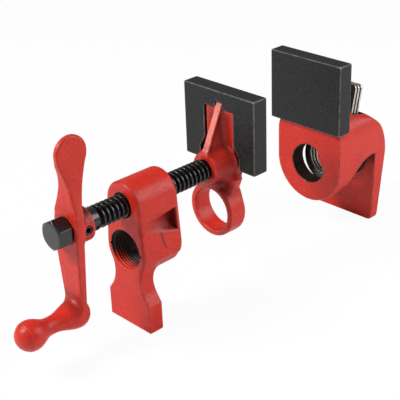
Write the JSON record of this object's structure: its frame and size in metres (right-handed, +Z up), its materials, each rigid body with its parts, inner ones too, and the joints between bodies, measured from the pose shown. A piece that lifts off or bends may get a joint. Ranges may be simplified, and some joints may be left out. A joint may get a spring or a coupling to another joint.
{
  "type": "pipe clamp",
  "caption": "Pipe clamp fixture set: a red cast head with cranked screw and sliding jaw, and a clutch tail stop, both with black slip-on pads.",
  "frame": {"origin": "on the bench under the middle of the set's bounding box", "axes": "+X along the pipe axis from the crank to the tail stop, +Z up"},
  "size_m": [0.2994, 0.06, 0.1356],
  "materials": {
    "red_enamel": "glossy red enamel on cast iron",
    "black_oxide_steel": "black oxide",
    "spring_steel": "dark spring steel",
    "zinc_plated_steel": "bright zinc plate",
    "black_plastic": "matte black"
  },
  "bodies": {
    "head": {"head_casting": "red_enamel"},
    "jaw": {"sliding_jaw": "red_enamel", "jaw_pad": "black_plastic"},
    "screw": {"spindle": "black_oxide_steel", "crank_handle": "red_enamel", "crank_pin": "spring_steel", "jaw_retaining_ring": "spring_steel"},
    "tail": {"tail_casting": "red_enamel", "tail_pad": "black_plastic", "clutch_spring": "spring_steel"},
    "clutch": {"clutch_plate_1": "zinc_plated_steel", "clutch_plate_2": "zinc_plated_steel", "clutch_plate_3": "zinc_plated_steel"}
  },
  "joints": [
    {"name": "jaw_slide", "type": "slide", "parent": "head", "child": "jaw", "axis": [1, 0, 0], "range_m": [-0.035, 0.014]},
    {"name": "spindle_turn", "type": "hinge", "parent": "jaw", "child": "screw", "pos_m": [0, 0, 0.081], "axis": [1, 0, 0], "range_deg": [-3700, 1480]},
    {"name": "tail_slide", "type": "slide", "parent": "head", "child": "tail", "axis": [1, 0, 0], "range_m": [-0.05, 0.1]},
    {"name": "clutch_tilt", "type": "hinge", "parent": "tail", "child": "clutch", "pos_m": [0.12175, 0, 0.0755], "axis": [0, 1, 0], "range_deg": [-13, 0], "stiffness_Nm_per_rad": 1, "springref_deg": 17.19, "deforming": ["clutch_spring"]}
  ],
  "couplings": [
    {"joint": "jaw_slide", "follows": "spindle_turn", "m_per_rad": 0.00054113}
  ]
}
